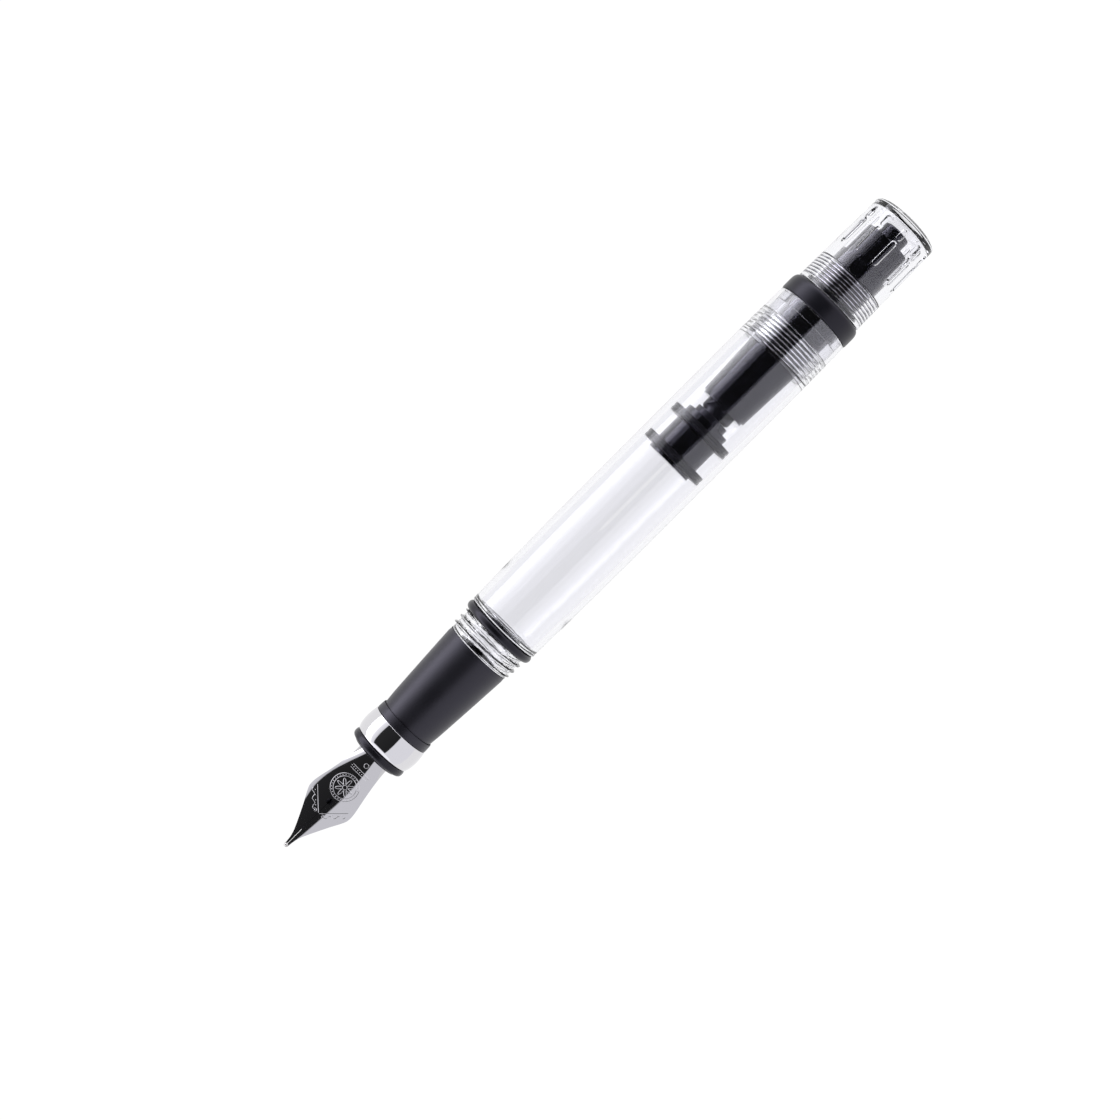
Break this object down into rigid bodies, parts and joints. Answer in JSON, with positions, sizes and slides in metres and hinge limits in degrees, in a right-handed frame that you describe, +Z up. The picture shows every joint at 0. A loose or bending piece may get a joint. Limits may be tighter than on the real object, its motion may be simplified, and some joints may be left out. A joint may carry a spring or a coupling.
{
  "type": "fountain pen",
  "caption": "Uncapped clear-barrel fountain pen with a steel nib, a black grip and a piston filler that the clear rear knob turns.",
  "frame": {"origin": "on the table under the middle of the pen's length, the pen lying on its barrel", "axes": "+X along the pen from the nib's tip to the knob, +Z up, the nib's top face towards +Z"},
  "size_m": [0.123, 0.0122, 0.0122],
  "materials": {
    "clear_acrylic": "clear, polished",
    "black_rubber": "moulded, satin",
    "black_seal": "moulded, smooth and wet-looking",
    "black_matte_plastic": "moulded, satin",
    "black_gloss_plastic": "moulded, glossy",
    "chrome_trim": "bright plated",
    "polished_steel": "polished stainless steel with engraved lines",
    "hard_tipping": "ground and polished"
  },
  "bodies": {
    "barrel": {"barrel": "clear_acrylic", "shoulder_ring": "black_rubber", "grip_sleeve": "black_matte_plastic", "trim_ring": "chrome_trim", "nib_housing": "black_gloss_plastic", "nose_ring": "black_rubber", "housing_seal": "black_rubber", "mechanism_sleeve": "black_gloss_plastic", "threaded_bushing": "clear_acrylic", "collar_ring": "black_matte_plastic"},
    "nib_unit": {"nib": "polished_steel", "nib_tipping": "hard_tipping", "feed": "black_matte_plastic"},
    "piston": {"piston_head": "black_gloss_plastic", "front_seal": "black_seal", "rear_seal": "black_seal", "piston_head_cap": "black_gloss_plastic", "piston_rod": "black_gloss_plastic"},
    "knob_carriage": {"friction_ring": "black_rubber"},
    "knob": {"knob": "clear_acrylic", "drive_tube": "black_gloss_plastic", "drive_plug": "black_gloss_plastic"}
  },
  "joints": [
    {"name": "nib_pull", "type": "slide", "parent": "barrel", "child": "nib_unit", "axis": [-1, 0, 0], "range_m": [0, 0.016]},
    {"name": "knob_back_out", "type": "slide", "parent": "barrel", "child": "knob_carriage", "axis": [1, 0, 0], "range_m": [0, 0.00167]},
    {"name": "knob_turn", "type": "hinge", "parent": "knob_carriage", "child": "knob", "pos_m": [0.05, 0, 0.00608], "axis": [1, 0, 0], "range_deg": [0, 1200]},
    {"name": "piston_stroke", "type": "slide", "parent": "barrel", "child": "piston", "axis": [-1, 0, 0], "range_m": [0, 0.025]}
  ],
  "couplings": [
    {"joint": "knob_back_out", "follows": "piston_stroke", "ratio": 0.066667},
    {"joint": "knob_turn", "follows": "piston_stroke", "rad_per_m": 837.76}
  ]
}
